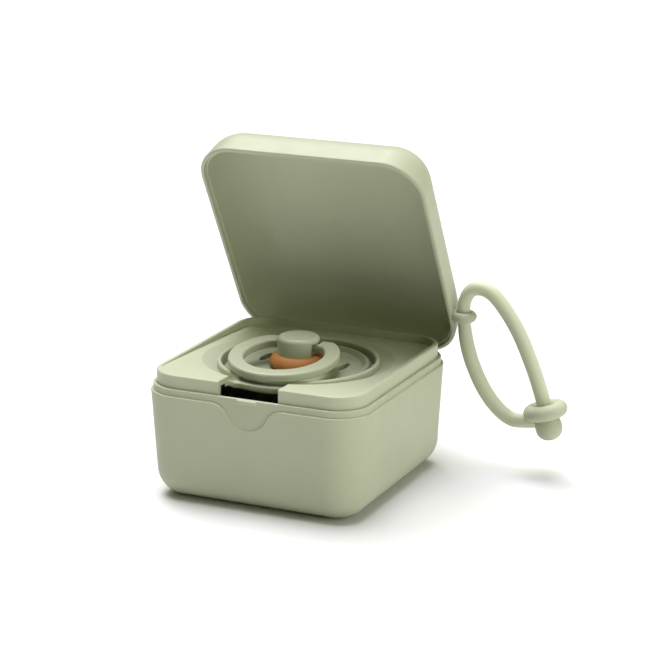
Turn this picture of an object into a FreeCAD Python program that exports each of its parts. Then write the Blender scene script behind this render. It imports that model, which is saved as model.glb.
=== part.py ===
import FreeCAD, Part
import Sketcher
import math
import os
from FreeCAD import Placement, Rotation, Vector

# A small case for a soother: a moulded tub with a hinged lid, a lift-out tray with a round
# collar, the soother seated in that collar, and a round strap through an ear on the lid.
# Millimetres. X runs to the right, Y to the hinge at the back, Z up from the resting face.

doc = FreeCAD.newDocument("soother_case")
sheet = doc.addObject("Spreadsheet::Sheet", "sheet")

# Driving sizes: lengths in millimetres, angles in degrees, shares without a unit.
SIZES = [
    # base tub, measured at the top of its outer skin
    ("base_half_width", 38.75),
    ("base_half_depth", 40.0),
    ("base_corner", 12.4),
    ("skin_top", 35.7),
    ("wall_draft", 3.5),
    ("base_edge_share", 0.742),
    ("floor_thick", 2.0),
    ("lower_wall", 2.8),
    ("inner_edge_share", 0.625),
    ("lip_inset", 0.81),
    ("lip_rise", 2.2),
    ("lip_wall", 1.0),
    ("ledge_drop", 6.3),
    ("skin_round", 0.5),
    ("lip_round", 0.3),
    # thumb recess in the front skin and the catch above it
    ("recess_half_width", 12.6),
    ("recess_depth", 7.6),
    ("recess_shoulder_share", 0.456),
    ("catch_length", 7.45),
    ("catch_radius", 0.8),
    ("catch_stand", 0.65),
    ("catch_drop", 0.9),
    # lid, in its closed place
    ("lid_overhang", 1.5),
    ("rim_lap", 1.2),
    ("rim_clearance", 0.2),
    ("lip_clearance", 0.12),
    ("seat_gap", 0.1),
    ("lid_rise", 17.5),
    ("lid_draft", 7.0),
    ("lid_edge_share", 0.915),
    ("lid_top", 1.8),
    ("lid_inner_share", 0.97),
    ("rim_round", 0.6),
    ("groove_half_width", 4.4),
    ("groove_depth", 0.8),
    ("groove_rise", 4.0),
    ("lid_angle", 61.3),
    # hinge at the back
    ("hinge_set_back", 2.54),
    ("hinge_drop", 1.55),
    ("knuckle_radius", 2.3),
    ("knuckle_length", 7.0),
    ("lid_knuckle_half", 11.0),
    ("knuckle_gap", 0.3),
    ("relief_gap", 0.35),
    ("pin_radius", 1.0),
    ("pin_grip", 0.02),
    ("pin_play", 0.06),
    ("web_drop", 0.15),
    ("web_height", 6.0),
    ("web_root", 1.5),
    # ear on the right wall of the lid
    ("ear_stand", 2.85),
    ("ear_reach", 17.45),
    ("ear_lift", 3.01),
    ("ear_radius", 2.45),
    ("ear_wire", 1.85),
    ("ear_flare_angle", 73.0),
    ("ear_bore", 0.35),
    ("ear_root", 2.5),
    ("ear_sink", 1.4),
    # strap through the ear
    ("strap_radius", 2.15),
    ("strap_size", 44.0),
    ("eyelet_radius", 4.85),
    ("eyelet_wire", 2.57),
    ("ball_radius", 4.5),
    # lift-out tray
    ("tray_inset", 1.96),
    ("tray_rise", 4.45),
    ("tray_round", 0.6),
    ("tray_bead", 1.6),
    ("tray_fall", 2.6),
    ("tray_skirt", 1.8),
    ("tray_plate", 1.8),
    ("dish_radius", 31.6),
    ("dish_sink", 3.3),
    ("well_forward", 0.95),
    ("collar_gap", 1.7),
    ("collar_wall", 1.5),
    ("collar_drop", 1.0),
    ("seat_clearance", 0.27),
    ("seat_drop", 4.75),
    ("seat_thick", 1.2),
    ("notch_half_width", 10.5),
    ("notch_foot", 0.8),
    ("notch_bend", 1.8),
    # soother
    ("rest_gap", 0.1),
    ("shield_radius", 23.5),
    ("shield_plate", 1.7),
    ("shield_hole", 7.2),
    ("vent_place", 14.0),
    ("vent_back", 4.4),
    ("vent_half_width", 1.45),
    ("vent_half_length", 4.2),
    ("nipple_bulge", 9.6),
    ("bulge_rise", 4.6),
    ("stem_radius", 4.0),
    ("stem_reach", 3.5),
    ("knob_radius", 6.95),
    ("knob_rise", 5.9),
    ("knob_edge", 1.3),
    ("knob_slot", 1.5),
    ("slot_half_width", 3.3),
    ("slot_top", 1.8),
    # carrying ring of the soother
    ("ring_outer", 18.2),
    ("ring_inner", 13.1),
    ("ring_thick", 2.9),
    ("ring_edge", 0.8),
    ("ring_forward", 11.0),
    ("ring_gap", 0.3),
    ("ring_arm", 3.0),
    ("arm_front", 1.6),
    ("arm_length", 3.25),
    ("arm_round", 1.1),
    ("arm_curl", 1.4),
    ("arm_shoulder", 3.0),
    ("ring_tilt", 6.0),
    ("pivot_rise", 2.5),
    ("stub_radius", 1.2),
    ("stub_play", 0.05),
    ("stub_end", 4.4),
    ("stub_room", 0.2),
    # how far a cutting shape runs past the face it opens
    ("overrun", 5.0),
]


class Size:
    """A number together with the sheet expression that gives it."""

    def __init__(self, value, text):
        self.value = value
        self.text = text

    def joined(self, other, sign, result):
        other_text = other.text if isinstance(other, Size) else repr(other)
        return Size(result, "(" + self.text + " " + sign + " " + other_text + ")")

    def __add__(self, other):
        return self.joined(other, "+", self.value + number(other))

    def __sub__(self, other):
        return self.joined(other, "-", self.value - number(other))

    def __mul__(self, other):
        return self.joined(other, "*", self.value * number(other))

    def __truediv__(self, other):
        return self.joined(other, "/", self.value / number(other))

    def __neg__(self):
        return Size(-self.value, "(0 - " + self.text + ")")


def number(item):
    return item.value if isinstance(item, Size) else item


def trig(name, angle):
    function = {"sin": math.sin, "cos": math.cos, "tan": math.tan}[name]
    return Size(function(math.radians(angle.value)), name + "(" + angle.text + ")")


size = {}
for row, (alias, amount) in enumerate(SIZES, start=1):
    sheet.set("A" + str(row), alias)
    sheet.set("B" + str(row), str(amount))
    sheet.setAlias("B" + str(row), alias)
    size[alias] = Size(amount, "sheet." + alias)
doc.recompute()
NOTHING = Size(0.0, "0")
NEAR = 1e-4

# Heights and places that follow from the driving sizes.
lip_top = size["skin_top"] + size["lip_rise"]
ledge = lip_top - size["ledge_drop"]
rim_height = size["skin_top"] - size["rim_lap"]
lid_ledge = size["skin_top"] + size["seat_gap"]
hinge_back = size["base_half_depth"] + size["hinge_set_back"]
hinge_height = size["skin_top"] - size["hinge_drop"]
tray_top = lip_top + size["tray_rise"]
dish_height = tray_top - size["dish_sink"]
tray_under = dish_height - size["tray_plate"]
ridge = tray_top - size["collar_drop"]
seat_height = tray_top - size["seat_drop"]
collar_inner = size["shield_radius"] + size["collar_gap"]
collar_radius = collar_inner + size["collar_wall"] / 2
collar_outer = collar_inner + size["collar_wall"]
foot_share = 0.916
seat_radius = size["shield_radius"] * foot_share + size["seat_clearance"]
shield_height = seat_height + size["rest_gap"]


def bind(item, name, amount):
    item.setExpression(name, amount.text)


def origin_plane(body, role):
    for feature in body.Origin.OriginFeatures:
        if feature.Role == role:
            return feature
    raise ValueError(role)


def new_body(label):
    body = doc.addObject("PartDesign::Body", label)
    body.Label = label
    return body


def new_sketch(body, name, role, across=None, along=None, out=None, lean=None):
    """A sketch on one of the body's own planes, shifted in it and out of it, leaned about its X."""
    sketch = body.newObject("Sketcher::SketchObject", name)
    sketch.AttachmentSupport = [(origin_plane(body, role), "")]
    sketch.MapMode = "FlatFace"
    shift = Vector(*[number(item or 0) for item in (across, along, out)])
    turn = Rotation(Vector(1, 0, 0), number(lean or 0))
    sketch.AttachmentOffset = Placement(shift, turn)
    for letter, item in (("x", across), ("y", along), ("z", out)):
        if item is not None:
            bind(sketch, "AttachmentOffset.Base." + letter, item)
    if lean is not None:
        bind(sketch, "AttachmentOffset.Rotation.Angle", lean)
    return sketch


def hold(sketch, kind, name, amount, *where):
    """A named dimension in a sketch that follows the sheet."""
    index = sketch.addConstraint(Sketcher.Constraint(kind, *where, abs(amount.value)))
    sketch.renameConstraint(index, name)
    bind(sketch, "Constraints." + name, amount if amount.value > 0 else -amount)


def hold_point(sketch, name, edge, end, across, along):
    """Keeps one end of an edge at a place in the sketch."""
    for kind, letter, amount, axis in (
        ("DistanceX", "x", across, -2),
        ("DistanceY", "y", along, -1),
    ):
        if abs(amount.value) < NEAR:
            sketch.addConstraint(Sketcher.Constraint("PointOnObject", edge, end, axis))
        elif amount.value > 0:
            hold(sketch, kind, name + letter, amount, -1, 1, edge, end)
        else:
            hold(sketch, kind, name + letter, amount, edge, end, -1, 1)


def polygon(sketch, points):
    """A closed outline of straight lines through points given as pairs of sizes."""
    count = len(points)
    corners = [Vector(a.value, b.value, 0) for a, b in points]
    for i in range(count):
        sketch.addGeometry(Part.LineSegment(corners[i], corners[(i + 1) % count]))
    for i in range(count):
        sketch.addConstraint(Sketcher.Constraint("Coincident", i, 2, (i + 1) % count, 1))
    for i, (a, b) in enumerate(points):
        hold_point(sketch, "p" + str(i), i, 1, a, b)


def circle(sketch, radius, across=NOTHING, along=NOTHING, name="radius"):
    centre = Vector(across.value, along.value, 0)
    index = sketch.addGeometry(Part.Circle(centre, Vector(0, 0, 1), radius.value))
    hold(sketch, "Radius", name, radius, index)
    hold_point(sketch, name + "_centre_", index, 3, across, along)


def rounded_rectangle(sketch, half_x, half_y, corner):
    """A rectangle with round corners about the sketch's origin."""
    hx, hy, r = half_x.value, half_y.value, corner.value
    ends = [
        (Vector(hx, -hy + r, 0), Vector(hx, hy - r, 0)),
        (Vector(hx - r, hy, 0), Vector(-hx + r, hy, 0)),
        (Vector(-hx, hy - r, 0), Vector(-hx, -hy + r, 0)),
        (Vector(-hx + r, -hy, 0), Vector(hx - r, -hy, 0)),
    ]
    for a, b in ends:
        sketch.addGeometry(Part.LineSegment(a, b))
    centres = [(hx - r, hy - r), (-hx + r, hy - r), (-hx + r, -hy + r), (hx - r, -hy + r)]
    for i, (x, y) in enumerate(centres):
        ring = Part.Circle(Vector(x, y, 0), Vector(0, 0, 1), r)
        quarter = math.pi / 2
        sketch.addGeometry(Part.ArcOfCircle(ring, i * quarter, (i + 1) * quarter))
    for i in range(4):
        sketch.addConstraint(Sketcher.Constraint("Tangent", i, 2, 4 + i, 1))
        sketch.addConstraint(Sketcher.Constraint("Tangent", 4 + i, 2, (i + 1) % 4, 1))
    sketch.addConstraint(Sketcher.Constraint("Vertical", 0))
    sketch.addConstraint(Sketcher.Constraint("Horizontal", 1))
    sketch.addConstraint(Sketcher.Constraint("Vertical", 2))
    sketch.addConstraint(Sketcher.Constraint("Horizontal", 3))
    for i in (5, 6, 7):
        sketch.addConstraint(Sketcher.Constraint("Equal", 4, i))
    hold(sketch, "Radius", "corner", corner, 4)
    hold(sketch, "DistanceX", "right", half_x, -1, 1, 0, 1)
    hold(sketch, "DistanceY", "back", half_y, -1, 1, 1, 1)
    hold(sketch, "DistanceX", "left", half_x, 2, 1, -1, 1)
    hold(sketch, "DistanceY", "front", half_y, 3, 1, -1, 1)


def case_outline(body, name, height, inset, lean=None, along=None):
    """The plan of the case, moved in by a margin, in a sketch at a height."""
    sketch = new_sketch(body, name, "XY_Plane", out=height, lean=lean, along=along)
    rounded_rectangle(
        sketch,
        size["base_half_width"] - inset,
        size["base_half_depth"] - inset,
        size["base_corner"] - inset,
    )
    return sketch


def feature(body, kind, name, sketch, length=None, reverse=False, both=False, through=False):
    """A pad or pocket of a sketch."""
    item = body.newObject("PartDesign::" + kind, name)
    item.Profile = sketch
    item.Reversed = reverse
    if both:
        item.SideType = "Symmetric"
    if through:
        item.Type = "ThroughAll"
    else:
        item.Length = length.value
        bind(item, "Length", length)
    return item


def turned(body, name, sketch, axis="V_Axis", cut=False):
    item = body.newObject("PartDesign::Groove" if cut else "PartDesign::Revolution", name)
    item.Profile = sketch
    item.ReferenceAxis = (sketch, [axis])
    item.Angle = 360
    return item


def rounded(body, name, base, radius, test):
    """Rounds every edge of a feature that passes the test."""
    doc.recompute()
    names = ["Edge" + str(i) for i, edge in enumerate(base.Shape.Edges, start=1) if test(edge)]
    if not names:
        raise ValueError(name + " finds no edges")
    item = body.newObject("PartDesign::Fillet", name)
    item.Base = (base, names)
    item.Radius = radius.value
    bind(item, "Radius", radius)
    doc.recompute()
    return item


def level(edge, height):
    """True for an edge that lies wholly at one height."""
    box = edge.BoundBox
    return abs(box.ZMin - height.value) < NEAR and abs(box.ZMax - height.value) < NEAR


# Base tub: drafted outer skin, round bottom edge, a thinner lip standing on it.
base_tub = new_body("base_tub")
skin = feature(
    base_tub, "Pad", "skin",
    case_outline(base_tub, "skin_outline", size["skin_top"], NOTHING),
    size["skin_top"], reverse=True,
)
skin.TaperAngle = -size["wall_draft"].value
bind(skin, "TaperAngle", -size["wall_draft"])
lip = feature(
    base_tub, "Pad", "lip",
    case_outline(base_tub, "lip_outline", size["skin_top"], size["lip_inset"]),
    size["lip_rise"],
)
lip_face = size["base_half_depth"] - size["lip_inset"]

# Hinge knuckles at the back, each on a web that runs down the skin.
for side, word in ((1, "right"), (-1, "left")):
    start = size["lid_knuckle_half"] + size["knuckle_gap"]
    out = start if side > 0 else -start
    web_sketch = new_sketch(base_tub, "web_" + word, "YZ_Plane", out=out)
    root = size["base_half_depth"] - size["web_root"]
    polygon(web_sketch, [
        (root, hinge_height - size["web_height"]),
        (hinge_back, hinge_height - size["knuckle_radius"]),
        (hinge_back, hinge_height - size["web_drop"]),
        (root, hinge_height - size["web_drop"]),
    ])
    feature(base_tub, "Pad", "web_pad_" + word, web_sketch, size["knuckle_length"], reverse=side < 0)
    barrel_sketch = new_sketch(base_tub, "barrel_" + word, "YZ_Plane", out=out)
    circle(barrel_sketch, size["knuckle_radius"], hinge_back, hinge_height)
    feature(base_tub, "Pad", "barrel_pad_" + word, barrel_sketch, size["knuckle_length"], reverse=side < 0)
hinge_half = size["lid_knuckle_half"] + size["knuckle_gap"] + size["knuckle_length"]
base_bore_sketch = new_sketch(base_tub, "base_bore", "YZ_Plane")
circle(base_bore_sketch, size["pin_radius"] + size["pin_grip"], hinge_back, hinge_height)
feature(base_tub, "Pocket", "base_bore_cut", base_bore_sketch, hinge_half * 2 + size["overrun"], both=True)

# Room inside: a mouth for the tray down to a ledge, then the drafted lower room.
mouth_inset = size["lip_inset"] + size["lip_wall"]
feature(
    base_tub, "Pocket", "mouth",
    case_outline(base_tub, "mouth_outline", lip_top, mouth_inset),
    size["ledge_drop"],
)
room = feature(
    base_tub, "Pocket", "room",
    case_outline(base_tub, "room_outline", ledge, size["lower_wall"]),
    ledge - size["floor_thick"],
)
room.TaperAngle = -size["wall_draft"].value
bind(room, "TaperAngle", -size["wall_draft"])
inner_edge = (size["base_corner"] - size["lower_wall"]) * size["inner_edge_share"]
inner_round = rounded(
    base_tub, "inner_round", room, inner_edge, lambda edge: level(edge, size["floor_thick"])
)
base_edge = size["base_corner"] * size["base_edge_share"]
bottom_round = rounded(
    base_tub, "bottom_round", inner_round, base_edge, lambda edge: level(edge, NOTHING)
)

# Thumb recess: a U of tangent arcs cut from the front skin back to the face of the lip.
recess_sketch = new_sketch(base_tub, "recess_outline", "XZ_Plane", out=lip_face)
half = size["recess_half_width"].value
depth = size["recess_depth"].value
top = size["skin_top"].value
above = top + size["overrun"].value
radius_sum = (half * half + depth * depth) / (2 * depth)
shoulder = radius_sum * size["recess_shoulder_share"].value
bowl = radius_sum - shoulder
low = top - depth
meet = math.atan2(low + bowl - (top - shoulder), half)
for side in (-1, 1):
    recess_sketch.addGeometry(
        Part.LineSegment(Vector(side * half, above, 0), Vector(side * half, top, 0))
    )
left_ring = Part.Circle(Vector(-half, top - shoulder, 0), Vector(0, 0, 1), shoulder)
recess_sketch.addGeometry(Part.ArcOfCircle(left_ring, meet, math.pi / 2))
right_ring = Part.Circle(Vector(half, top - shoulder, 0), Vector(0, 0, 1), shoulder)
recess_sketch.addGeometry(Part.ArcOfCircle(right_ring, math.pi / 2, math.pi - meet))
bowl_ring = Part.Circle(Vector(0, low + bowl, 0), Vector(0, 0, 1), bowl)
recess_sketch.addGeometry(Part.ArcOfCircle(bowl_ring, math.pi + meet, 2 * math.pi - meet))
recess_sketch.addGeometry(Part.LineSegment(Vector(-half, above, 0), Vector(half, above, 0)))
recess = feature(base_tub, "Pocket", "recess", recess_sketch, reverse=True, through=True)


def margin(edge):
    """How far the middle of an edge lies inside the plan of the skin's top; negative outside it."""
    middle = edge.valueAt((edge.FirstParameter + edge.LastParameter) / 2)
    corner = size["base_corner"].value
    dx = abs(middle.x) - (size["base_half_width"].value - corner)
    dy = abs(middle.y) - (size["base_half_depth"].value - corner)
    if dx > 0 and dy > 0:
        return corner - math.hypot(dx, dy)
    return corner - max(dx, dy)


def skin_edge(edge):
    """The outer top edge of the skin, and the front edge of the thumb recess."""
    box = edge.BoundBox
    if level(edge, size["skin_top"]):
        return abs(margin(edge)) < NEAR
    inside = box.XMax <= half + NEAR and box.XMin >= -half - NEAR
    on_skin = box.YMax < -(lip_face + size["lip_inset"] / 2).value
    return inside and on_skin and box.ZMin > low - NEAR and box.ZMax < top + NEAR


def lip_edge(edge):
    return level(edge, lip_top) and abs(margin(edge) - size["lip_inset"].value) < NEAR


skin_softened = rounded(base_tub, "skin_softened", recess, size["skin_round"], skin_edge)
lip_softened = rounded(base_tub, "lip_softened", skin_softened, size["lip_round"], lip_edge)

# Catch: a short rounded bar across the front of the lip.
catch_sketch = new_sketch(
    base_tub, "catch_profile", "XY_Plane",
    along=-(lip_face - size["catch_radius"] + size["catch_stand"]),
    out=lip_top - size["catch_drop"],
)
catch_half = (size["catch_length"] / 2).value
catch_r = size["catch_radius"].value
catch_flat = catch_half - catch_r
catch_sketch.addGeometry(Part.LineSegment(Vector(-catch_half, 0, 0), Vector(catch_half, 0, 0)))
for side, start, end in ((1, 1.5 * math.pi, 2 * math.pi), (-1, math.pi, 1.5 * math.pi)):
    round_end = Part.Circle(Vector(side * catch_flat, 0, 0), Vector(0, 0, 1), catch_r)
    catch_sketch.addGeometry(Part.ArcOfCircle(round_end, start, end))
catch_sketch.addGeometry(
    Part.LineSegment(Vector(-catch_flat, -catch_r, 0), Vector(catch_flat, -catch_r, 0))
)
turned(base_tub, "catch", catch_sketch, axis="H_Axis")

# Lid, built closed and then turned open about the hinge: a dome with a room inside it.
lid_shell = new_body("lid_shell")
lid_inset = -size["lid_overhang"]
dome = feature(
    lid_shell, "Pad", "dome",
    case_outline(lid_shell, "dome_outline", rim_height, lid_inset),
    size["lid_rise"],
)
dome.TaperAngle = -size["lid_draft"].value
bind(dome, "TaperAngle", -size["lid_draft"])
lid_room_inset = size["lip_inset"] - size["lip_clearance"]
lid_room = feature(
    lid_shell, "Pocket", "lid_room",
    case_outline(lid_shell, "lid_room_outline", rim_height - size["overrun"], lid_room_inset),
    size["overrun"] + size["lid_rise"] - size["lid_top"], reverse=True,
)
lid_inner_round = rounded(
    lid_shell, "lid_inner_round", lid_room,
    (size["base_corner"] - lid_room_inset) * size["lid_inner_share"],
    lambda edge: level(edge, rim_height + size["lid_rise"] - size["lid_top"]),
)
dome_round = rounded(
    lid_shell, "dome_round", lid_inner_round,
    (size["base_corner"] - lid_inset) * size["lid_edge_share"],
    lambda edge: level(edge, rim_height + size["lid_rise"]),
)


def rim_edge(edge):
    """The outer edge of the rim, not the edge of the room inside it."""
    return level(edge, rim_height) and abs(margin(edge) + size["lid_overhang"].value) < NEAR


rim_edge_round = rounded(lid_shell, "rim_edge_round", dome_round, size["rim_round"], rim_edge)

# Ear: a thick eye on the right wall whose flared hole stands upright when the lid rests open.
ear_across = size["base_half_width"] + size["lid_overhang"] + size["ear_stand"]
ear_along = hinge_back - size["ear_reach"]
ear_height = hinge_height + size["ear_lift"]
right_angle = Size(90.0, "90")
ear_lean = right_angle + size["lid_angle"]
ear_sketch = new_sketch(
    lid_shell, "ear_section", "XY_Plane", ear_across, ear_along, ear_height, ear_lean
)
ear_hole = size["strap_radius"] + size["ear_bore"]
ear_wire = size["ear_wire"].value
flare_angle = math.radians(size["ear_flare_angle"].value)
flare_across = size["ear_radius"].value + ear_wire * math.cos(flare_angle)
flare_along = ear_wire * math.sin(flare_angle)
ear_ring = Part.Circle(Vector(size["ear_radius"].value, 0, 0), Vector(0, 0, 1), ear_wire)
ear_sketch.addGeometry(Part.ArcOfCircle(ear_ring, -flare_angle, flare_angle))
ear_sketch.addGeometry(Part.Arc(
    Vector(flare_across, flare_along, 0),
    Vector(ear_hole.value, 0, 0),
    Vector(flare_across, -flare_along, 0),
))
turned(lid_shell, "ear_eye", ear_sketch)
root_sketch = new_sketch(
    lid_shell, "ear_root_section", "XY_Plane", ear_across, ear_along, ear_height, ear_lean
)
ear_foot = size["ear_stand"] + size["ear_sink"]
polygon(root_sketch, [
    (-ear_foot, NOTHING),
    (-ear_foot, size["ear_root"]),
    (-size["strap_radius"], size["ear_wire"]),
    (-size["strap_radius"], NOTHING),
])
turned(lid_shell, "ear_flare", root_sketch, axis="H_Axis")
eye_sketch = new_sketch(
    lid_shell, "ear_hole", "XY_Plane", ear_across, ear_along, ear_height, size["lid_angle"]
)
circle(eye_sketch, ear_hole)
feature(lid_shell, "Pocket", "ear_hole_cut", eye_sketch, size["ear_root"] * 2, both=True)

# Hinge knuckle of the lid, with room beside it for the knuckles of the base.
barrel_sketch = new_sketch(lid_shell, "lid_barrel", "YZ_Plane")
circle(barrel_sketch, size["knuckle_radius"], hinge_back, hinge_height)
feature(lid_shell, "Pad", "lid_barrel_pad", barrel_sketch, size["lid_knuckle_half"] * 2, both=True)
for side, word in ((1, "right"), (-1, "left")):
    out = size["lid_knuckle_half"] if side > 0 else -size["lid_knuckle_half"]
    relief_sketch = new_sketch(lid_shell, "relief_" + word, "YZ_Plane", out=out)
    circle(relief_sketch, size["knuckle_radius"] + size["relief_gap"], hinge_back, hinge_height)
    feature(
        lid_shell, "Pocket", "relief_cut_" + word, relief_sketch,
        size["knuckle_length"] + size["knuckle_gap"] * 2, reverse=side > 0,
    )
lid_bore_sketch = new_sketch(lid_shell, "lid_bore", "YZ_Plane")
circle(lid_bore_sketch, size["pin_radius"] + size["pin_play"], hinge_back, hinge_height)
feature(lid_shell, "Pocket", "lid_bore_cut", lid_bore_sketch, size["lid_knuckle_half"] * 2, both=True)

# Room inside the rim for the skin of the base, up to the ledge that sits on its shelf.
feature(
    lid_shell, "Pocket", "rim_room",
    case_outline(lid_shell, "rim_room_outline", rim_height - size["overrun"], -size["rim_clearance"]),
    lid_ledge - rim_height + size["overrun"], reverse=True,
)
groove_sketch = new_sketch(lid_shell, "groove_outline", "XZ_Plane", out=lip_face - size["lip_wall"])
groove_low = rim_height - size["overrun"]
groove_high = rim_height + size["groove_rise"]
polygon(groove_sketch, [
    (-size["groove_half_width"], groove_low),
    (size["groove_half_width"], groove_low),
    (size["groove_half_width"], groove_high),
    (-size["groove_half_width"], groove_high),
])
feature(
    lid_shell, "Pocket", "catch_groove", groove_sketch,
    size["lip_wall"] + size["groove_depth"] + size["lip_clearance"], reverse=True,
)
turn_open = -size["lid_angle"]
open_y = hinge_back - hinge_back * trig("cos", turn_open) + hinge_height * trig("sin", turn_open)
open_z = hinge_height - hinge_back * trig("sin", turn_open) - hinge_height * trig("cos", turn_open)
lid_shell.Placement = Placement(
    Vector(0, open_y.value, open_z.value), Rotation(Vector(1, 0, 0), turn_open.value)
)
bind(lid_shell, "Placement.Base.y", open_y)
bind(lid_shell, "Placement.Base.z", open_z)
bind(lid_shell, "Placement.Rotation.Angle", turn_open)

# Hinge pin through all the knuckles.
hinge_pin = doc.addObject("Part::Cylinder", "hinge_pin")
hinge_pin.Label = "hinge_pin"
bind(hinge_pin, "Radius", size["pin_radius"])
bind(hinge_pin, "Height", hinge_half * 2)
hinge_pin.Placement = Placement(
    Vector(-hinge_half.value, hinge_back.value, hinge_height.value), Rotation(Vector(0, 1, 0), 90)
)
bind(hinge_pin, "Placement.Base.x", -hinge_half)
bind(hinge_pin, "Placement.Base.y", hinge_back)
bind(hinge_pin, "Placement.Base.z", hinge_height)

# Tray: a skirt on the ledge, a floor that falls to the back, a dish and a level collar in it.
inner_tray = new_body("inner_tray")
tray_block = feature(
    inner_tray, "Pad", "tray_block",
    case_outline(inner_tray, "tray_outline", ledge, size["tray_inset"]),
    tray_top - ledge,
)
tray_edge = rounded(
    inner_tray, "tray_edge", tray_block, size["tray_round"], lambda edge: level(edge, tray_top)
)
floor_inset = size["tray_inset"] + size["tray_bead"]
floor_half = size["base_half_depth"] - floor_inset
floor_lean_value = math.degrees(math.atan2(size["tray_fall"].value, 2 * floor_half.value))
floor_lean = Size(
    -floor_lean_value, "-1 * atan(" + size["tray_fall"].text + " / (2 * " + floor_half.text + "))"
)
floor_middle = tray_top - size["tray_fall"] / 2
well_floor = floor_middle + size["well_forward"] * size["tray_fall"] / (floor_half * 2)
skirt_inset = size["tray_inset"] + size["tray_skirt"]
feature(
    inner_tray, "Pocket", "tray_hollow",
    case_outline(
        inner_tray, "hollow_outline", floor_middle - size["tray_plate"], skirt_inset, lean=floor_lean
    ),
    through=True,
)


def dish_circle(name, radius, height, lean=None):
    """A circle about the well's axis in four quarters, on the level or on the leaning floor."""
    sketch = new_sketch(
        inner_tray, name, "XY_Plane", along=-size["well_forward"], out=height, lean=lean
    )
    quarter = math.pi / 2
    ring = Part.Circle(Vector(0, 0, 0), Vector(0, 0, 1), radius.value)
    for i in range(4):
        sketch.addGeometry(Part.ArcOfCircle(ring, i * quarter, (i + 1) * quarter))
        sketch.addConstraint(Sketcher.Constraint("Coincident", i, 3, -1, 1))
    for i in range(4):
        sketch.addConstraint(Sketcher.Constraint("Coincident", i, 2, (i + 1) % 4, 1))
        sketch.addConstraint(Sketcher.Constraint("PointOnObject", i, 1, -1 - i % 2))
    hold(sketch, "Radius", "radius", radius, 0)
    return sketch


def dish_loft(kind, name, top, bottom):
    item = inner_tray.newObject("PartDesign::" + kind, name)
    item.Profile = top
    item.Sections = [bottom]


dish_loft(
    "AdditiveLoft", "dish_under",
    dish_circle("under_top", size["dish_radius"] + size["tray_plate"], well_floor, floor_lean),
    dish_circle("under_low", collar_outer + size["tray_plate"], tray_under),
)
feature(
    inner_tray, "Pocket", "tray_floor",
    case_outline(inner_tray, "floor_outline", floor_middle, floor_inset, lean=floor_lean),
    reverse=True, through=True,
)
dish_loft(
    "SubtractiveLoft", "dish",
    dish_circle("dish_top", size["dish_radius"], well_floor, floor_lean),
    dish_circle("dish_low", collar_outer, dish_height),
)
well_sketch = new_sketch(
    inner_tray, "well_outline", "XY_Plane", along=-size["well_forward"], out=tray_top
)
circle(well_sketch, collar_radius)
feature(inner_tray, "Pocket", "well", well_sketch, through=True)
collar_sketch = new_sketch(inner_tray, "collar_section", "XZ_Plane", out=size["well_forward"])
seat_low = seat_height - size["seat_thick"]
crown = (size["collar_wall"] / 2).value
crown_height = ridge.value - crown
path = [
    Vector(seat_radius.value, seat_low.value, 0),
    Vector(collar_outer.value, seat_low.value, 0),
    Vector(collar_outer.value, crown_height, 0),
    Vector(collar_inner.value, crown_height, 0),
    Vector(collar_inner.value, seat_height.value, 0),
    Vector(seat_radius.value, seat_height.value, 0),
]
for a, b in ((0, 1), (1, 2), (3, 4), (4, 5), (5, 0)):
    collar_sketch.addGeometry(Part.LineSegment(path[a], path[b]))
crown_ring = Part.Circle(Vector(collar_radius.value, crown_height, 0), Vector(0, 0, 1), crown)
collar_sketch.addGeometry(Part.ArcOfCircle(crown_ring, 0, math.pi))
turned(inner_tray, "collar", collar_sketch)

# Finger notch at the front: the skirt and floor are cut away up to the foot of the collar.
foot_radius = collar_outer + size["notch_foot"]
notch_sketch = new_sketch(
    inner_tray, "notch_outline", "XY_Plane", along=-size["well_forward"], out=tray_top
)
notch_x = size["notch_half_width"].value
notch_bend = size["notch_bend"].value
bend_reach = foot_radius.value + notch_bend
notch_angle = math.asin((notch_x - notch_bend) / bend_reach)
notch_y = -bend_reach * math.cos(notch_angle)
notch_front = -(size["base_half_depth"] + size["overrun"]).value
notch_corners = [
    Vector(-notch_x, notch_y, 0),
    Vector(-notch_x, notch_front, 0),
    Vector(notch_x, notch_front, 0),
    Vector(notch_x, notch_y, 0),
]
for a, b in zip(notch_corners, notch_corners[1:]):
    notch_sketch.addGeometry(Part.LineSegment(a, b))
foot_ring = Part.Circle(Vector(0, 0, 0), Vector(0, 0, 1), foot_radius.value)
down = 1.5 * math.pi
notch_sketch.addGeometry(Part.ArcOfCircle(foot_ring, down - notch_angle, down + notch_angle))
upward = math.pi / 2
for side, start, end in ((-1, upward - notch_angle, math.pi), (1, 0, upward + notch_angle)):
    centre = Vector(side * (notch_x - notch_bend), notch_y, 0)
    bend_ring = Part.Circle(centre, Vector(0, 0, 1), notch_bend)
    notch_sketch.addGeometry(Part.ArcOfCircle(bend_ring, start, end))
feature(inner_tray, "Pocket", "notch", notch_sketch, through=True)
under_sketch = new_sketch(
    inner_tray, "notch_under", "XY_Plane", along=-size["well_forward"], out=tray_under
)
polygon(under_sketch, [
    (-size["notch_half_width"], -(size["base_half_depth"] + size["overrun"])),
    (size["notch_half_width"], -(size["base_half_depth"] + size["overrun"])),
    (size["notch_half_width"], -size["notch_half_width"]),
    (-size["notch_half_width"], -size["notch_half_width"]),
])
feature(inner_tray, "Pocket", "notch_under_cut", under_sketch, through=True)

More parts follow.
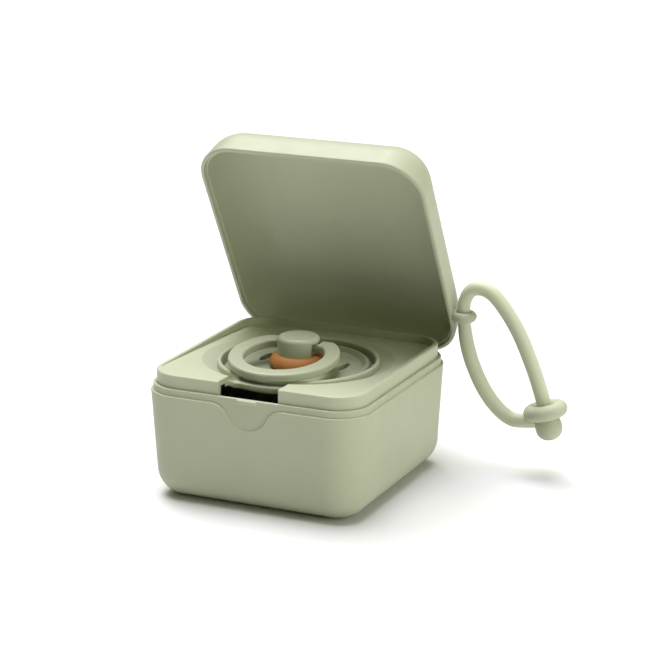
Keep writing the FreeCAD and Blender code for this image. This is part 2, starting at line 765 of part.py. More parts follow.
# The seat inside the collar is open above the notch, so a finger tip reaches the soother.
gap_sketch = new_sketch(
    inner_tray, "gap_outline", "XY_Plane", along=-size["well_forward"], out=seat_height
)
gap_angle = math.asin(notch_x / collar_inner.value)
gap_front = -collar_inner.value * math.cos(gap_angle)
gap_corners = [
    Vector(-notch_x, gap_front, 0),
    Vector(-notch_x, -notch_x, 0),
    Vector(notch_x, -notch_x, 0),
    Vector(notch_x, gap_front, 0),
]
for a, b in zip(gap_corners, gap_corners[1:]):
    gap_sketch.addGeometry(Part.LineSegment(a, b))
gap_ring = Part.Circle(Vector(0, 0, 0), Vector(0, 0, 1), collar_inner.value)
gap_sketch.addGeometry(Part.ArcOfCircle(gap_ring, down - gap_angle, down + gap_angle))
feature(inner_tray, "Pocket", "seat_gap", gap_sketch, through=True)

# Soother shield: a dished round plate with a raised rim, two vents and a hole for the nipple.
pacifier_shield = new_body("pacifier_shield")
shield_sketch = new_sketch(
    pacifier_shield, "shield_section", "XZ_Plane", along=shield_height, out=size["well_forward"]
)
rim_shares = [
    (0.889, -0.030), (foot_share, 0.0), (0.979, 0.0), (1.0, 0.022), (1.0, 0.078), (0.978, 0.102),
    (0.945, 0.102), (0.918, 0.075), (0.893, 0.052), (0.865, 0.060),
]
face_share = 0.038
face_height = size["shield_radius"] * face_share
plate_low = face_height - size["shield_plate"]
face_edge = size["nipple_bulge"]
plate_share = 1.15
shield_points = [(size["shield_hole"], plate_low), (face_edge * plate_share, plate_low)]
shield_points += [(size["shield_radius"] * a, size["shield_radius"] * b) for a, b in rim_shares]
shield_points += [(face_edge, face_height), (size["shield_hole"], face_height)]
polygon(shield_sketch, shield_points)
shield_turn = turned(pacifier_shield, "shield_turn", shield_sketch)
for side, word in ((1, "right"), (-1, "left")):
    vent_sketch = new_sketch(
        pacifier_shield, "vent_" + word, "XY_Plane", along=-size["well_forward"],
        out=shield_height + size["shield_radius"],
    )
    place = Vector(side * size["vent_place"].value, size["vent_back"].value, 0)
    long_half = Vector(0, size["vent_half_length"].value, 0)
    short_half = Vector(size["vent_half_width"].value, 0, 0)
    oval = Part.Ellipse(place + long_half, place + short_half, place)
    vent_sketch.addGeometry(oval)
    feature(pacifier_shield, "Pocket", "vent_cut_" + word, vent_sketch, through=True)

# Nipple: a thin hollow bulb below the shield, pinched in its hole, with a bulge above it.
face = shield_height + face_height
pacifier_nipple = new_body("pacifier_nipple")
nipple_sketch = new_sketch(
    pacifier_nipple, "nipple_section", "XZ_Plane", along=face, out=size["well_forward"]
)
bulge_shares = [(0.969, 0.302), (1.0, 0.1875), (0.938, 0.057), (0.885, 0.0)]
flange_shares = [(1.083, 0.125), (0.781, 0.052), (0.635, -0.167), (0.615, -0.427), (0.688, -0.844),
                 (0.875, -1.385), (0.927, -1.802), (0.792, -2.323), (0.438, -2.615), (0.0, -2.688)]
inner_shares = [(0.0, -2.52), (0.354, -2.458), (0.656, -2.219), (0.781, -1.792), (0.74, -1.417),
                (0.552, -0.833), (0.479, -0.469), (0.469, -0.208)]
unit = size["nipple_bulge"].value
plate = size["shield_plate"].value
hole = size["shield_hole"].value
stem = size["stem_radius"].value
rise = size["bulge_rise"].value


def spline(points):
    curve = Part.BSplineCurve()
    curve.interpolate(points)
    return curve


def line(a, b):
    return Part.LineSegment(a, b)


bulge = [Vector(size["knob_radius"].value, rise, 0)]
bulge += [Vector(unit * a, unit * b, 0) for a, b in bulge_shares]
flange_low = -plate - unit * flange_shares[0][1]
flange_out = unit * flange_shares[0][0]
bulb = [Vector(flange_out, flange_low, 0)]
bulb += [Vector(unit * a, flange_low + unit * b, 0) for a, b in flange_shares[1:]]
hollow = [Vector(unit * a, flange_low + unit * b, 0) for a, b in inner_shares]
neck = Vector(stem, flange_low, 0)
hollow.append(neck)
bore_top = Vector(stem, rise, 0)
waist = [Vector(hole, 0, 0), Vector(hole, -plate, 0), Vector(flange_out, -plate, 0)]
nipple_edges = [spline(bulge), line(bulge[-1], waist[0]), line(waist[0], waist[1])]
nipple_edges += [line(waist[1], waist[2]), line(waist[2], bulb[0]), spline(bulb)]
nipple_edges += [line(bulb[-1], hollow[0]), spline(hollow), line(neck, bore_top), line(bore_top, bulge[0])]
for edge in nipple_edges:
    nipple_sketch.addGeometry(edge)
turned(pacifier_nipple, "nipple_turn", nipple_sketch)

# Knob: the hard cap that holds the nipple in the shield and carries the ring.
pacifier_knob = new_body("pacifier_knob")
knob_low = face + size["bulge_rise"]
knob_sketch = new_sketch(
    pacifier_knob, "knob_section", "XZ_Plane", along=knob_low, out=size["well_forward"]
)
stem_low = -(size["bulge_rise"] + size["shield_plate"] + size["stem_reach"] / 2)
polygon(knob_sketch, [
    (NOTHING, stem_low),
    (size["stem_radius"], stem_low),
    (size["stem_radius"], NOTHING),
    (size["knob_radius"], NOTHING),
    (size["knob_radius"], size["knob_rise"]),
    (NOTHING, size["knob_rise"]),
])
knob_turn = turned(pacifier_knob, "knob_turn", knob_sketch)
knob_round = rounded(
    pacifier_knob, "knob_round", knob_turn, size["knob_edge"],
    lambda edge: level(edge, knob_low + size["knob_rise"]),
)
pivot_height = knob_low + size["pivot_rise"]
for side, word in ((1, "right"), (-1, "left")):
    flat = size["knob_radius"] - size["knob_slot"]
    slot_sketch = new_sketch(
        pacifier_knob, "slot_" + word, "YZ_Plane", -size["well_forward"], knob_low,
        flat if side > 0 else -flat,
    )
    polygon(slot_sketch, [
        (-size["slot_half_width"], -size["overrun"]),
        (size["slot_half_width"], -size["overrun"]),
        (size["slot_half_width"], size["knob_rise"] - size["slot_top"]),
        (-size["slot_half_width"], size["knob_rise"] - size["slot_top"]),
    ])
    feature(pacifier_knob, "Pocket", "slot_cut_" + word, slot_sketch, size["overrun"], reverse=side > 0)
    depth_end = size["stub_end"] - size["stub_room"]
    stub_hole = new_sketch(
        pacifier_knob, "stub_hole_" + word, "YZ_Plane", -size["well_forward"], pivot_height,
        depth_end if side > 0 else -depth_end,
    )
    circle(stub_hole, size["stub_radius"] + size["stub_play"])
    feature(pacifier_knob, "Pocket", "stub_hole_cut_" + word, stub_hole, size["overrun"], reverse=side > 0)

# Ring: an open round handle, built about its own pivot and then tilted down to the front.
pacifier_ring = new_body("pacifier_ring")
ring_sketch = new_sketch(pacifier_ring, "ring_outline", "XY_Plane")
circle(ring_sketch, size["ring_outer"], NOTHING, -size["ring_forward"], "outer")
circle(ring_sketch, size["ring_inner"], NOTHING, -size["ring_forward"], "inner")
feature(pacifier_ring, "Pad", "ring_pad", ring_sketch, size["ring_thick"], both=True)
back_sketch = new_sketch(pacifier_ring, "ring_back", "XY_Plane")
polygon(back_sketch, [
    (-size["ring_outer"], size["ring_arm"]),
    (size["ring_outer"], size["ring_arm"]),
    (size["ring_outer"], size["ring_outer"]),
    (-size["ring_outer"], size["ring_outer"]),
])
feature(pacifier_ring, "Pocket", "ring_back_cut", back_sketch, size["ring_thick"] * 2, both=True)
room_sketch = new_sketch(pacifier_ring, "knob_room", "XY_Plane")
room_half = size["knob_radius"] + size["ring_gap"]
polygon(room_sketch, [
    (-room_half, -size["ring_arm"]),
    (room_half, -size["ring_arm"]),
    (room_half, size["ring_outer"]),
    (-room_half, size["ring_outer"]),
])
feature(pacifier_ring, "Pocket", "knob_room_cut", room_sketch, size["ring_thick"] * 2, both=True)
for side, word in ((1, "right"), (-1, "left")):
    arm_sketch = new_sketch(pacifier_ring, "arm_" + word, "XY_Plane")
    near = room_half if side > 0 else -room_half
    far = room_half + size["arm_length"] if side > 0 else -(room_half + size["arm_length"])
    polygon(arm_sketch, [
        (near, -size["arm_front"]),
        (far, -size["arm_front"]),
        (far, size["ring_arm"]),
        (near, size["ring_arm"]),
    ])
    arms = feature(pacifier_ring, "Pad", "arm_pad_" + word, arm_sketch, size["ring_thick"], both=True)


def arm_edge(edge, inner, along):
    """True for an upright edge of an arm beside the knob or away from it, at a place along Y."""
    box = edge.BoundBox
    upright = abs(box.ZLength - size["ring_thick"].value) < NEAR and box.XLength + box.YLength < NEAR
    beside = abs(abs(box.Center.x) - room_half.value) < NEAR
    return upright and beside == inner and abs(box.Center.y - along.value) < NEAR


def arm_end(edge):
    return arm_edge(edge, True, size["ring_arm"]) or arm_edge(edge, True, -size["arm_front"])


arm_ends = rounded(pacifier_ring, "arm_ends", arms, size["arm_round"], arm_end)
arm_curls = rounded(
    pacifier_ring, "arm_curls", arm_ends, size["arm_curl"],
    lambda edge: arm_edge(edge, False, -size["arm_front"]),
)
arm_shoulders = rounded(
    pacifier_ring, "arm_shoulders", arm_curls, size["arm_shoulder"],
    lambda edge: arm_edge(edge, False, size["ring_arm"]),
)
ring_round = rounded(
    pacifier_ring, "ring_round", arm_shoulders, size["ring_edge"],
    lambda edge: level(edge, size["ring_thick"] / 2) or level(edge, -size["ring_thick"] / 2),
)
for side, word in ((1, "right"), (-1, "left")):
    out = size["stub_end"] if side > 0 else -size["stub_end"]
    stub_sketch = new_sketch(pacifier_ring, "stub_" + word, "YZ_Plane", out=out)
    circle(stub_sketch, size["stub_radius"])
    stub_length = size["knob_radius"] + size["ring_gap"] - size["stub_end"] + size["ring_arm"]
    feature(pacifier_ring, "Pad", "stub_pad_" + word, stub_sketch, stub_length, reverse=side < 0)
pacifier_ring.Placement = Placement(
    Vector(0, -size["well_forward"].value, pivot_height.value),
    Rotation(Vector(1, 0, 0), size["ring_tilt"].value),
)
bind(pacifier_ring, "Placement.Base.y", -size["well_forward"])
bind(pacifier_ring, "Placement.Base.z", pivot_height)
bind(pacifier_ring, "Placement.Rotation.Angle", size["ring_tilt"])

# Strap: one round cord from an eyelet, up through the ear, over and back through the eyelet.
turn_cos = trig("cos", turn_open)
turn_sin = trig("sin", turn_open)
ear_rest_y = hinge_back - size["ear_reach"] * turn_cos - size["ear_lift"] * turn_sin
ear_rest_z = hinge_height - size["ear_reach"] * turn_sin + size["ear_lift"] * turn_cos
strap_route_shares = [
    (0.605, -0.7463), (0.505, -0.7637), (0.397, -0.7718), (0.270, -0.6831), (0.1632, -0.5468),
    (0.0791, -0.3786), (0.0245, -0.2104), (0.0007, -0.0377), (-0.0027, 0.1305), (0.0745, 0.2419),
    (0.2155, 0.2214), (0.3291, 0.0987), (0.4382, -0.0604), (0.5336, -0.2649), (0.6041, -0.4422),
    (0.6564, -0.6058), (0.6905, -0.7468),
]
route = []
for a, b in strap_route_shares:
    x = ear_across.value + size["strap_size"].value * a
    z = ear_rest_z.value + size["strap_size"].value * b
    route.append(Vector(x, ear_rest_y.value, z))
trim_share = 0.45


def cord_wire(points):
    """Straight runs joined by tangent arcs, with the smallest arc radius and the length."""
    edges = []
    radii = []
    start = points[0]
    for i in range(1, len(points) - 1):
        into = points[i] - points[i - 1]
        away = points[i + 1] - points[i]
        turn = into.getAngle(away)
        trim = trim_share * min(into.Length, away.Length)
        radius = trim / math.tan(turn / 2)
        into.normalize()
        away.normalize()
        first = points[i] - into * trim
        last = points[i] + away * trim
        toward = away - into
        toward.normalize()
        middle = points[i] + toward * (radius / math.cos(turn / 2) - radius)
        edges.append(Part.LineSegment(start, first).toShape())
        edges.append(Part.Arc(first, middle, last).toShape())
        radii.append(radius)
        start = last
    edges.append(Part.LineSegment(start, points[-1]).toShape())
    return Part.Wire(edges), radii


strap_wire, strap_radii = cord_wire(route)
first_run = route[1] - route[0]
section = Part.Wire([Part.makeCircle(size["strap_radius"].value, route[0], first_run)])
strap_solid = strap_wire.makePipeShell([section], True, False)
strap_cord = doc.addObject("Part::Feature", "strap_cord")
strap_cord.Label = "strap_cord"
strap_cord.Shape = strap_solid
strap_cord.Placement = Placement()
strap_area = math.pi * size["strap_radius"].value ** 2
print("strap_cord length", round(strap_wire.Length, 2), "tightest radius", round(min(strap_radii), 2))
print("strap_cord volume share", round(strap_solid.Volume / (strap_area * strap_wire.Length), 4))
print("strap_cord radii", [round(r, 1) for r in strap_radii])

# The eyelet near one end of the cord and the acorn-shaped stop ball at the other.
last_run = route[-1] - route[-2]
last_run.normalize()
eyelet_share = 0.38
eyelet_centre = route[-2] + (route[-1] - route[-2]) * eyelet_share
strap_eyelet = doc.addObject("Part::Torus", "strap_eyelet")
strap_eyelet.Label = "strap_eyelet"
bind(strap_eyelet, "Radius1", size["eyelet_radius"])
bind(strap_eyelet, "Radius2", size["eyelet_wire"])
strap_eyelet.Placement = Placement(eyelet_centre, Rotation(Vector(0, 0, 1), -last_run))
strap_ball = new_body("strap_ball")
ball_sketch = new_sketch(strap_ball, "ball_section", "XZ_Plane")
ball_shares = [
    (0.0, -0.97), (0.55, -0.85), (0.9, -0.48), (1.0, 0.02), (0.92, 0.5), (0.7, 0.81), (0.4, 0.93),
    (0.0, 0.96),
]
ball_radius = size["ball_radius"].value
ball_points = [Vector(ball_radius * a, ball_radius * b, 0) for a, b in ball_shares]
ball_curve = Part.BSplineCurve()
ball_curve.interpolate(
    Points=ball_points, InitialTangent=Vector(1, 0, 0), FinalTangent=Vector(-1, 0, 0)
)
ball_sketch.addGeometry(ball_curve)
ball_sketch.addGeometry(line(ball_points[-1], ball_points[0]))
turned(strap_ball, "ball_turn", ball_sketch)
ball_share = 0.4
ball_centre = route[-1] + last_run * size["ball_radius"].value * ball_share
strap_ball.Placement = Placement(ball_centre, Rotation(Vector(0, 0, 1), -last_run))

doc.recompute()

NODES = [
    base_tub, lid_shell, hinge_pin, inner_tray, pacifier_shield, pacifier_nipple, pacifier_knob,
    pacifier_ring, strap_cord, strap_eyelet, strap_ball,
]
for item in doc.Objects:
    if "Invalid" in item.State or "Error" in item.State:
        raise RuntimeError(item.Name + " failed: " + ", ".join(item.State))
for item in NODES:
    if item.Shape.isNull() or not item.Shape.isValid() or len(item.Shape.Solids) != 1:
        raise RuntimeError(item.Label + " is not one valid solid")
os.makedirs("parts", exist_ok=True)
for item in NODES:
    item.Shape.exportStep("parts/" + item.Label + ".step")
    box = item.Shape.BoundBox
    print(item.Label, "volume", round(item.Shape.Volume, 1), "box",
          [round(v, 2) for v in (box.XMin, box.XMax, box.YMin, box.YMax, box.ZMin, box.ZMax)])
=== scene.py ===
import math

import bmesh
import bpy
from mathutils import Matrix, Vector


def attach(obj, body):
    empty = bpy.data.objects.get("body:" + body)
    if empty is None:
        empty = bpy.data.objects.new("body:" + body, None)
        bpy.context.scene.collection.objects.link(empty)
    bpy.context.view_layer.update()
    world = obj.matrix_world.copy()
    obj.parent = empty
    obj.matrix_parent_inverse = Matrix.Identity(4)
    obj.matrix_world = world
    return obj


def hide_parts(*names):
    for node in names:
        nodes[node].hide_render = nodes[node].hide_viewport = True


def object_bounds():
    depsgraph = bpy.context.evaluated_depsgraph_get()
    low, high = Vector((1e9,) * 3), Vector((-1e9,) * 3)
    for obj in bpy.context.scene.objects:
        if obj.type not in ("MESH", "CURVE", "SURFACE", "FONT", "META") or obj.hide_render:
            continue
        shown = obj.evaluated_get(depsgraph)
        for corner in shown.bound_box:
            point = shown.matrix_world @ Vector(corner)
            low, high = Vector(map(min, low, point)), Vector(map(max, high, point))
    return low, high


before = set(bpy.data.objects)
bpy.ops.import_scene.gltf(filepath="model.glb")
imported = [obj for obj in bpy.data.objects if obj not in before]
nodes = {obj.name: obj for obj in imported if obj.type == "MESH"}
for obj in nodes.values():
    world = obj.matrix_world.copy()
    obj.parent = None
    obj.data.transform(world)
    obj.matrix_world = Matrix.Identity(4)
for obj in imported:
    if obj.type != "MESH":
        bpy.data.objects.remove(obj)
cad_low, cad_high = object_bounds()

scene = bpy.context.scene

# Camera: the photograph's own view of the case, from the front right and a little above.
AZIMUTH = math.radians(24.632)
ELEVATION = math.radians(16.022)
EYE = Vector((0.312001, -0.656732, 0.259375))
LENS_MM = 126.257
SENSOR_MM = 36.0
VIEW_NEAREST = 0.05
VIEW_FARTHEST = 20


def make_camera():
    back = Vector((
        math.sin(AZIMUTH) * math.cos(ELEVATION),
        -math.cos(AZIMUTH) * math.cos(ELEVATION),
        math.sin(ELEVATION),
    ))
    right = Vector((math.cos(AZIMUTH), math.sin(AZIMUTH), 0))
    up = back.cross(right)
    data = bpy.data.cameras.new("photo_camera")
    data.lens = LENS_MM
    data.sensor_width = SENSOR_MM
    data.sensor_fit = "HORIZONTAL"
    data.clip_start = VIEW_NEAREST
    data.clip_end = VIEW_FARTHEST
    camera = bpy.data.objects.new("photo_camera", data)
    scene.collection.objects.link(camera)
    turn = Matrix((right, up, back)).transposed().to_4x4()
    camera.matrix_world = Matrix.Translation(EYE) @ turn
    scene.camera = camera


make_camera()

# Strap: one round silicone cord, from the eyelet up through the ear of the lid, over and back
# down through the eyelet to the stop ball. Its route is in shares of its size, from the ear, and
# it is drawn in a little where it passes through the ear.
STRAP_RADIUS = 0.00245
STRAP_NECK_RADIUS = 0.00215
STRAP_NECK_POINTS = (7, 8)
STRAP_SIZE = 0.044
STRAP_ROUND_STEPS = 7
STRAP_ROUTE_STEPS = 12
STRAP_CURVE_ORDER = 3
EAR = Vector((0.0431, 0.0368003, 0.0509017))
STRAP_ROUTE_SHARES = [
    (0.605, -0.7463), (0.505, -0.7637), (0.397, -0.7718), (0.270, -0.6831), (0.1632, -0.5468),
    (0.0791, -0.3786), (0.0245, -0.2104), (0.0007, -0.0377), (-0.0027, 0.1305), (0.0745, 0.2419),
    (0.2155, 0.2214), (0.3291, 0.0987), (0.4382, -0.0604), (0.5336, -0.2649), (0.6041, -0.4422),
    (0.6564, -0.6058), (0.6905, -0.7468),
]


def route_points():
    return [EAR + Vector((STRAP_SIZE * a, 0, STRAP_SIZE * b)) for a, b in STRAP_ROUTE_SHARES]


def make_strap():
    """The strap as a curve whose points carry its radius in metres."""
    data = bpy.data.curves.new("strap", "CURVE")
    data.dimensions = "3D"
    data.bevel_depth = 1.0
    data.bevel_resolution = STRAP_ROUND_STEPS
    data.use_fill_caps = True
    data.resolution_u = STRAP_ROUTE_STEPS
    spline = data.splines.new("NURBS")
    points = route_points()
    spline.points.add(len(points) - 1)
    for index, place in enumerate(points):
        point = spline.points[index]
        point.co = (*place, 1)
        point.radius = STRAP_NECK_RADIUS if index in STRAP_NECK_POINTS else STRAP_RADIUS
    spline.order_u = STRAP_CURVE_ORDER
    spline.use_endpoint_u = True
    strap = bpy.data.objects.new("strap", data)
    scene.collection.objects.link(strap)
    return strap


strap = make_strap()
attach(strap, "strap")
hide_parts("strap_cord")

# Lip: the narrow front edge of the tray's plate that runs round the collar above the finger notch.
WELL_Y = -0.00095
LIP_RADIUS = 0.0295
LIP_INNER = 0.0266
LIP_TOP = 0.0401
LIP_THICK = 0.0021
LIP_EDGE = 0.0006
LIP_BEND = 0.0035
LIP_RISE = 0.0012
LIP_RISE_START = 0.0085
LIP_ARC_STEPS = 40
LIP_BEND_STEPS = 10
LIP_EDGE_STEPS = 5
LIP_CREASE = math.radians(40)
NOTCH_HALF = 0.01055
TO_THE_FRONT = 1.5 * math.pi


def lip_stations():
    """Places along the lip's front edge from left to right, each with the way out of the lip."""
    reach = LIP_RADIUS + LIP_BEND
    lean = math.asin((NOTCH_HALF - LIP_BEND) / reach)
    middle = Vector((NOTCH_HALF - LIP_BEND, -reach * math.cos(lean)))
    bend = []
    for i in range(LIP_BEND_STEPS):
        turn = (math.pi / 2 + lean) * i / LIP_BEND_STEPS
        way = Vector((math.cos(turn), math.sin(turn)))
        bend.append((middle + LIP_BEND * way, -way))
    stations = [(Vector((-p.x, p.y)), Vector((-n.x, n.y))) for p, n in bend]
    for i in range(LIP_ARC_STEPS + 1):
        turn = TO_THE_FRONT - lean + 2 * lean * i / LIP_ARC_STEPS
        way = Vector((math.cos(turn), math.sin(turn)))
        stations.append((LIP_RADIUS * way, way))
    return stations + bend[::-1]


def lip_section(place, way):
    """The lip's section at a place, higher near its ends, where it runs into the tray's plate:
    top, round front edge, front, round lower edge and underside."""
    share = max(abs(place.x) - LIP_RISE_START, 0) / (NOTCH_HALF - LIP_RISE_START)
    top = LIP_TOP + LIP_RISE * share * share * (3 - 2 * share)
    low = top - LIP_THICK
    rounds = [math.pi / 2 * i / LIP_EDGE_STEPS for i in range(LIP_EDGE_STEPS + 1)]
    pairs = [(LIP_EDGE * (math.sin(t) - 1), top + LIP_EDGE * (math.cos(t) - 1)) for t in rounds]
    pairs += [(LIP_EDGE * (math.cos(t) - 1), low + LIP_EDGE * (1 - math.sin(t))) for t in rounds]
    section = [(*(place + out * way), z) for out, z in pairs]
    inner = LIP_INNER * place.normalized()
    return [(*inner, top)] + section + [(*inner, low)]


def make_lip():
    made = bmesh.new()
    rings = []
    for place, way in lip_stations():
        rings.append([made.verts.new((x, y + WELL_Y, z)) for x, y, z in lip_section(place, way)])
    count = len(rings[0])
    for left, right in zip(rings, rings[1:]):
        for i in range(count):
            j = (i + 1) % count
            made.faces.new((left[i], left[j], right[j], right[i]))
    made.faces.new(rings[0])
    made.faces.new(rings[-1])
    bmesh.ops.recalc_face_normals(made, faces=made.faces)
    for face in made.faces:
        face.smooth = True
    for edge in made.edges:
        edge.smooth = edge.calc_face_angle() < LIP_CREASE
    data = bpy.data.meshes.new("tray_lip")
    made.to_mesh(data)
    made.free()
    lip = bpy.data.objects.new("tray_lip", data)
    scene.collection.objects.link(lip)
    return lip


lip = make_lip()
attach(lip, "case_base")

# Materials: moulded plastic, silicone and latex, each with faint mottling, a fine grain and an
# uneven gloss.
# The strap's silicone carries painted light: it is coloured lighter than the same silicone of the
# eyelet and ball.
MM_PER_M = 1000
NOISE_LOW = 0.3
NOISE_HIGH = 0.7
MOTTLE_DETAIL = 3
HAZE_MM = 5.0
HAZE_DETAIL = 4
HAZE_ROUGHNESS = 0.6
GRAIN_DETAIL = 2
GRAIN_STRENGTH = 0.6
LATEX_SHINE = 0.3


def new_material(name):
    material = bpy.data.materials.new(name)
    material.use_nodes = True
    tree = material.node_tree
    shader = tree.nodes["Principled BSDF"]
    return material, tree, shader


def noise(tree, vector, scale, detail=2.0, rough=0.5):
    node = tree.nodes.new("ShaderNodeTexNoise")
    node.inputs["Scale"].default_value = scale
    node.inputs["Detail"].default_value = detail
    node.inputs["Roughness"].default_value = rough
    tree.links.new(vector, node.inputs["Vector"])
    return node.outputs["Fac"]


def ramp(tree, fac, low, high):
    node = tree.nodes.new("ShaderNodeValToRGB")
    first, last = node.color_ramp.elements
    first.position = NOISE_LOW
    first.color = (*low, 1)
    last.position = NOISE_HIGH
    last.color = (*high, 1)
    tree.links.new(fac, node.inputs["Fac"])
    return node.outputs["Color"]


def moulded(name, colour, spread, gloss, grain_mm, grain_depth_mm, mottle_mm):
    """A moulded piece: its colour varies by a small share, its roughness between two values, and
    a fine grain is raised on it."""
    material, tree, shader = new_material(name)
    place = tree.nodes.new("ShaderNodeTexCoord").outputs["Object"]
    low = [c * (1 - spread) for c in colour]
    high = [min(c * (1 + spread), 1) for c in colour]
    mottle = noise(tree, place, MM_PER_M / mottle_mm, MOTTLE_DETAIL)
    tree.links.new(ramp(tree, mottle, low, high), shader.inputs["Base Color"])
    haze = noise(tree, place, MM_PER_M / HAZE_MM, HAZE_DETAIL, HAZE_ROUGHNESS)
    gloss_range = tree.nodes.new("ShaderNodeMapRange")
    gloss_range.inputs["From Min"].default_value = NOISE_LOW
    gloss_range.inputs["From Max"].default_value = NOISE_HIGH
    gloss_range.inputs["To Min"].default_value = gloss[0]
    gloss_range.inputs["To Max"].default_value = gloss[1]
    tree.links.new(haze, gloss_range.inputs["Value"])
    tree.links.new(gloss_range.outputs["Result"], shader.inputs["Roughness"])
    grain = noise(tree, place, MM_PER_M / grain_mm, GRAIN_DETAIL)
    bump = tree.nodes.new("ShaderNodeBump")
    bump.inputs["Strength"].default_value = GRAIN_STRENGTH
    bump.inputs["Distance"].default_value = grain_depth_mm / MM_PER_M
    tree.links.new(grain, bump.inputs["Height"])
    tree.links.new(bump.outputs["Normal"], shader.inputs["Normal"])
    return material


def let_light_in(material, weight, depths):
    """Light enters the piece, as deep in metres as given for red, green and blue."""
    shader = material.node_tree.nodes["Principled BSDF"]
    shader.inputs["Subsurface Weight"].default_value = weight
    shader.inputs["Subsurface Radius"].default_value = depths
    shader.inputs["Subsurface Scale"].default_value = 1.0


CASE_COLOUR = (0.40, 0.425, 0.30)
TRAY_COLOUR = (0.428, 0.455, 0.322)
SOOTHER_COLOUR = (0.385, 0.41, 0.288)
# Painted light: the strap's colour is the eyelet and ball's silicone made lighter, standing in for
# the light that falls on the strap.
STRAP_COLOUR_PAINTED_LIGHTER = (0.53, 0.562, 0.41)
KNOT_COLOUR = (0.43, 0.457, 0.325)
LATEX_COLOUR = (0.42, 0.18, 0.05)

# Each material's colour, the share that this varies by, its least and greatest roughness, and the
# width of its grain, the depth of its grain and the width of its mottling in millimetres.
FINISHES = {
    "case_plastic": (CASE_COLOUR, 0.015, (0.48, 0.58), 0.35, 0.004, 14.0),
    "lid_plastic": (CASE_COLOUR, 0.015, (0.48, 0.58), 0.35, 0.004, 14.0),
    "tray_plastic": (TRAY_COLOUR, 0.015, (0.46, 0.56), 0.35, 0.004, 14.0),
    "pin_plastic": (CASE_COLOUR, 0.02, (0.5, 0.6), 0.4, 0.004, 14.0),
    "soother_plastic": (SOOTHER_COLOUR, 0.015, (0.36, 0.46), 0.5, 0.003, 14.0),
    "strap_silicone": (STRAP_COLOUR_PAINTED_LIGHTER, 0.02, (0.55, 0.66), 0.6, 0.005, 14.0),
    "knot_silicone": (KNOT_COLOUR, 0.02, (0.55, 0.66), 0.6, 0.005, 14.0),
    "latex": (LATEX_COLOUR, 0.06, (0.5, 0.6), 1.2, 0.01, 6.0),
}

# The materials that let light in: what share of it enters, and how deep for red, green and blue.
SOFT_FINISHES = {
    "strap_silicone": (0.3, (0.002, 0.002, 0.0015)),
    "latex": (0.25, (0.004, 0.002, 0.0008)),
}
materials = {name: moulded(name, *finish) for name, finish in FINISHES.items()}
for name, softness in SOFT_FINISHES.items():
    let_light_in(materials[name], *softness)
latex_shader = materials["latex"].node_tree.nodes["Principled BSDF"]
latex_shader.inputs["Specular IOR Level"].default_value = LATEX_SHINE

LOOKS = {
    "base_tub": "case_plastic",
    "lid_shell": "lid_plastic",
    "inner_tray": "tray_plastic",
    "hinge_pin": "pin_plastic",
    "pacifier_shield": "soother_plastic",
    "pacifier_knob": "soother_plastic",
    "pacifier_ring": "soother_plastic",
    "pacifier_nipple": "latex",
    "strap_eyelet": "knot_silicone",
    "strap_ball": "knot_silicone",
}
for piece, look in LOOKS.items():
    nodes[piece].data.materials.clear()
    nodes[piece].data.materials.append(materials[look])
strap.data.materials.append(materials["strap_silicone"])
lip.data.materials.append(materials["tray_plastic"])

# Floor: a wide pale sheet just under the case.
FLOOR_HALF = 4.0
FLOOR_DROP = 0.0002
FLOOR_DARKER = (0.73, 0.73, 0.73)
FLOOR_PALER = (0.75, 0.75, 0.75)
FLOOR_MOTTLES_PER_M = 3.0
FLOOR_ROUGHNESS = 0.9


def make_floor():
    data = bpy.data.meshes.new("floor")
    corners = [
        (-FLOOR_HALF, -FLOOR_HALF, 0),
        (FLOOR_HALF, -FLOOR_HALF, 0),
        (FLOOR_HALF, FLOOR_HALF, 0),
        (-FLOOR_HALF, FLOOR_HALF, 0),
    ]
    data.from_pydata(corners, [], [(0, 1, 2, 3)])
    floor = bpy.data.objects.new("floor", data)
    floor.location.z = cad_low[2] - FLOOR_DROP
    scene.collection.objects.link(floor)
    material, tree, shader = new_material("floor_white")
    place = tree.nodes.new("ShaderNodeTexCoord").outputs["Object"]
    tone = ramp(tree, noise(tree, place, FLOOR_MOTTLES_PER_M), FLOOR_DARKER, FLOOR_PALER)
    tree.links.new(tone, shader.inputs["Base Color"])
    shader.inputs["Roughness"].default_value = FLOOR_ROUGHNESS
    shader.inputs["Specular IOR Level"].default_value = 0.0
    data.materials.append(material)


make_floor()

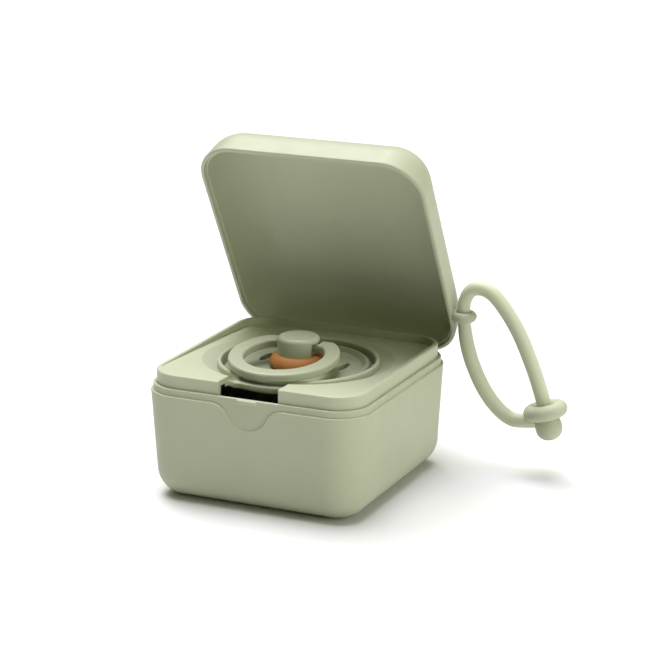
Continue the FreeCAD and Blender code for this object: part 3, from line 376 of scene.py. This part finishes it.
# Light: soft lamps of the sky, with the way to each, how tight it is and its light in red, green
# and blue. Four are overhead, towards the left and the back, one is at the right and a weak one
# is in front.
SKY_LAMPS = [
    ((0, 0, 1), 40, (14.8, 14.6, 17.0)),
    ((-0.45, 0.45, 1), 40, (14.4, 14.6, 15.3)),
    ((-0.45, 0, 1), 40, (3.9, 3.7, 2.5)),
    ((0, 0.45, 1), 40, (3.4, 3.2, 1.8)),
    ((0.97, -0.1, 0.22), 10, (3.7, 3.75, 3.2)),
    ((0, -0.7, 0.7), 10, (0.22, 0.27, 0.05)),
]
BACKDROP_COLOUR = (1, 1, 1, 1)


def math_node(tree, kind, operation, value, amount):
    node = tree.nodes.new(kind)
    node.operation = operation
    node.inputs[1].default_value = amount
    tree.links.new(value, node.inputs[0])
    return node.outputs["Value"]


def lamp_glow(tree, place, way, tightness, light):
    """One lamp's light, which fades away from the lamp's middle."""
    value = math_node(tree, "ShaderNodeVectorMath", "DOT_PRODUCT", place, Vector(way).normalized())
    value = math_node(tree, "ShaderNodeMath", "MAXIMUM", value, 0.0)
    value = math_node(tree, "ShaderNodeMath", "POWER", value, tightness)
    glow = tree.nodes.new("ShaderNodeVectorMath")
    glow.operation = "SCALE"
    glow.inputs[0].default_value = light
    tree.links.new(value, glow.inputs["Scale"])
    return glow.outputs["Vector"]


def make_sky():
    """A studio sky that adds up the soft lamps. Seen directly, it is a plain white backdrop."""
    world = bpy.data.worlds.new("studio")
    scene.world = world
    world.use_nodes = True
    tree = world.node_tree
    place = tree.nodes.new("ShaderNodeTexCoord").outputs["Generated"]
    glows = [lamp_glow(tree, place, *lamp) for lamp in SKY_LAMPS]
    total = glows[0]
    for glow in glows[1:]:
        both = tree.nodes.new("ShaderNodeVectorMath")
        both.operation = "ADD"
        tree.links.new(total, both.inputs[0])
        tree.links.new(glow, both.inputs[1])
        total = both.outputs["Vector"]
    lamps = tree.nodes["Background"]
    lamps.inputs["Strength"].default_value = 1.0
    tree.links.new(total, lamps.inputs["Color"])
    backdrop = tree.nodes.new("ShaderNodeBackground")
    backdrop.inputs["Color"].default_value = BACKDROP_COLOUR
    choice = tree.nodes.new("ShaderNodeMixShader")
    seen = tree.nodes.new("ShaderNodeLightPath").outputs["Is Camera Ray"]
    tree.links.new(seen, choice.inputs["Fac"])
    tree.links.new(lamps.outputs["Background"], choice.inputs[1])
    tree.links.new(backdrop.outputs["Background"], choice.inputs[2])
    tree.links.new(choice.outputs["Shader"], tree.nodes["World Output"].inputs["Surface"])


make_sky()
scene.view_settings.view_transform = "Standard"
scene.view_settings.look = "None"
